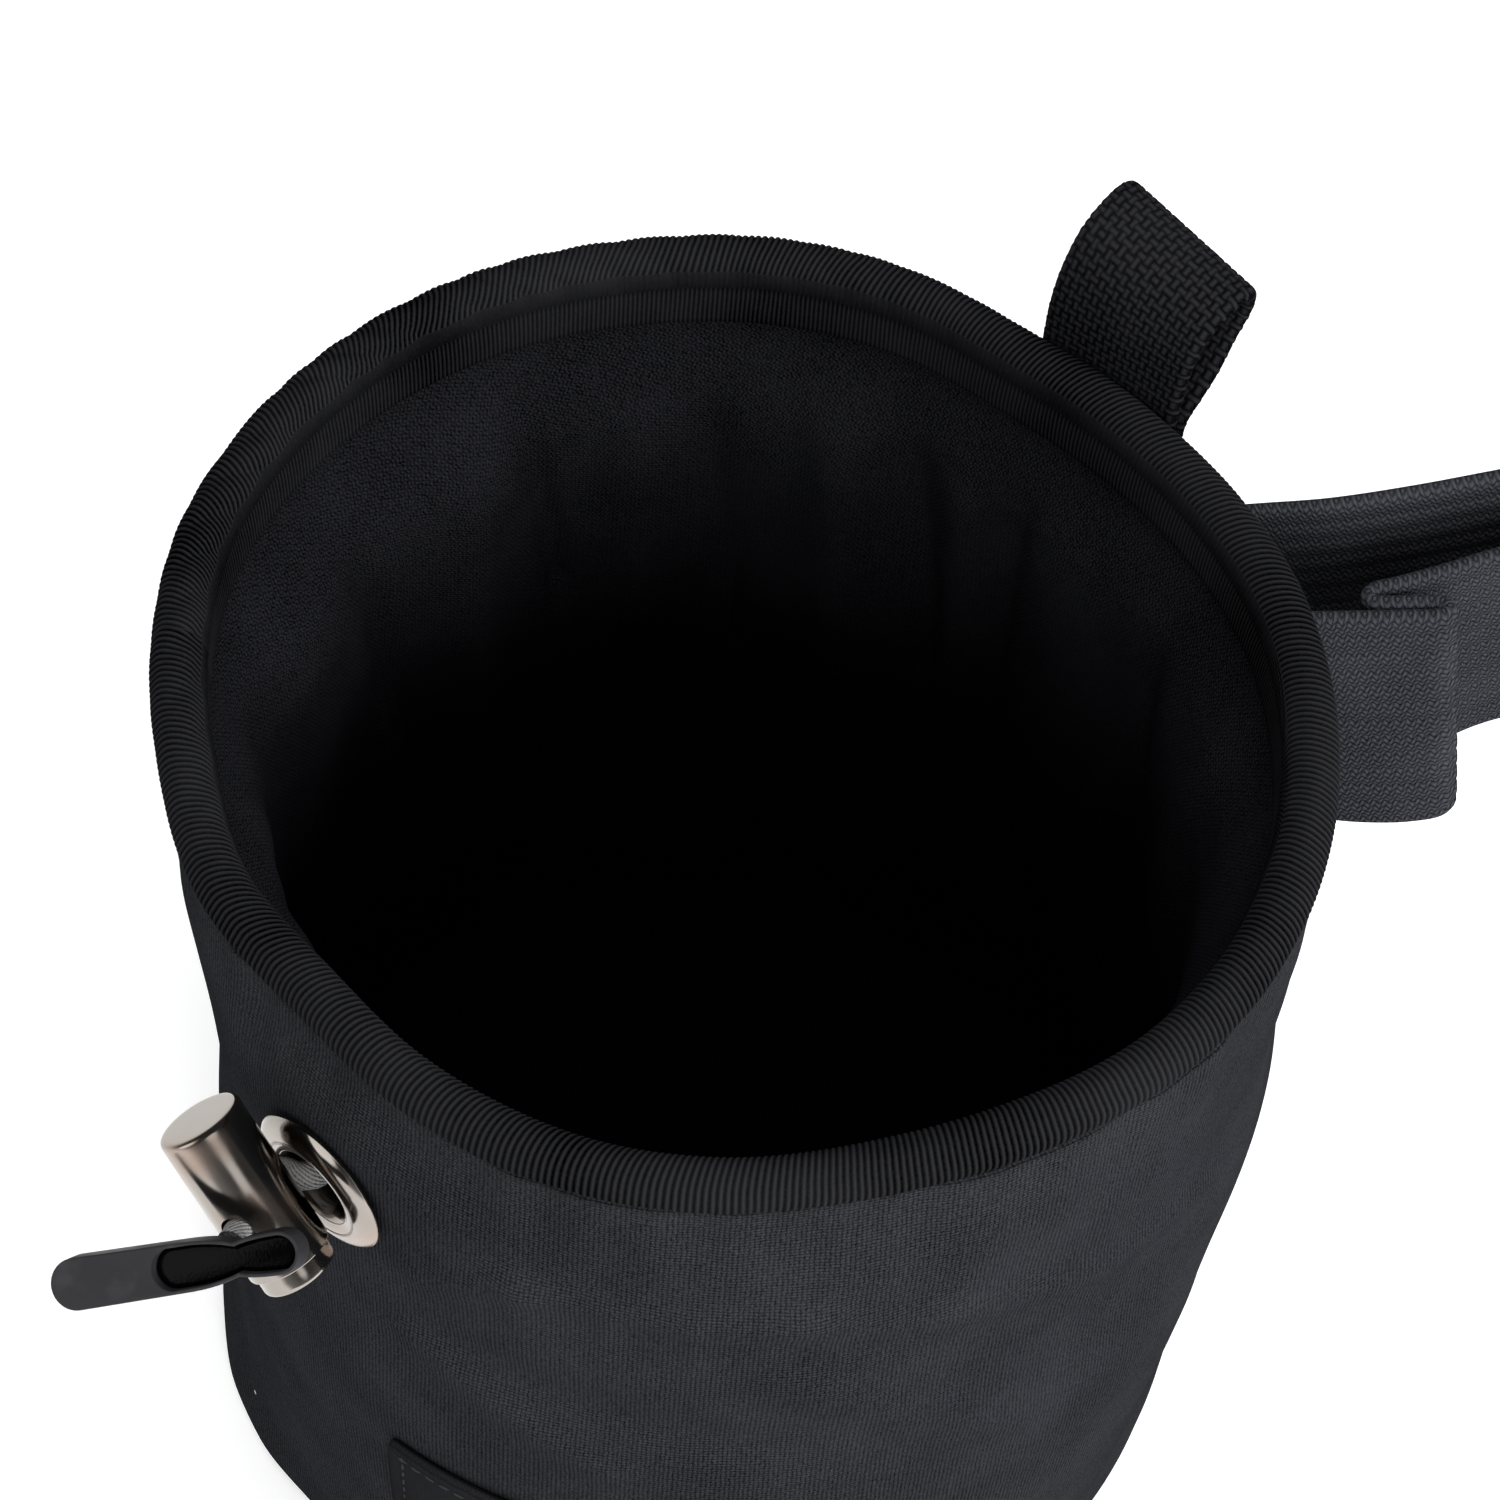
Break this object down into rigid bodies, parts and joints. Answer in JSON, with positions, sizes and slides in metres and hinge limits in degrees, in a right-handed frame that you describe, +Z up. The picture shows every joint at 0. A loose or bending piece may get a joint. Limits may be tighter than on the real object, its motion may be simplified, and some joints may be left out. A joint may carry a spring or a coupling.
{
  "type": "climbing chalk bag",
  "caption": "Round cloth chalk bag with a stiff ribbed mouth, gathered lining, webbing hang loop, folded elastic band, and a drawcord through a metal eyelet and cord lock.",
  "frame": {"origin": "middle of the floor panel's underside, on the surface that the bag stands on", "axes": "+Z up through the mouth, -Y towards the front with the label patch, +X towards the elastic band"},
  "size_m": [0.1735, 0.1266, 0.1539],
  "materials": {
    "shell_cloth": "matt charcoal woven cloth",
    "lining_knit": "matt black brushed knit",
    "binding_tape": "black ribbed tape",
    "webbing": "black woven webbing",
    "elastic": "black ribbed elastic",
    "gunmetal": "polished dark metal",
    "cord": "black braided cord",
    "pull_rubber": "matt dark grey moulded rubber",
    "label_cloth": "matt dark patch, face left bare"
  },
  "bodies": {
    "bag": {"outer_shell": "shell_cloth", "base_panel": "shell_cloth", "lining": "lining_knit", "rim_binding": "binding_tape", "hang_loop": "webbing", "elastic_band": "elastic", "eyelet": "gunmetal", "cord_lock_barrel": "gunmetal", "drawcord": "cord", "cord_pull": "pull_rubber", "label_patch": "label_cloth"},
    "plunger": {"cord_lock_plunger": "gunmetal"}
  },
  "joints": [
    {"name": "plunger_press", "type": "slide", "parent": "bag", "child": "plunger", "axis": [-0.5495, 0.445, 0.7071], "range_m": [0, 0.002], "stiffness_N_per_m": 300}
  ]
}
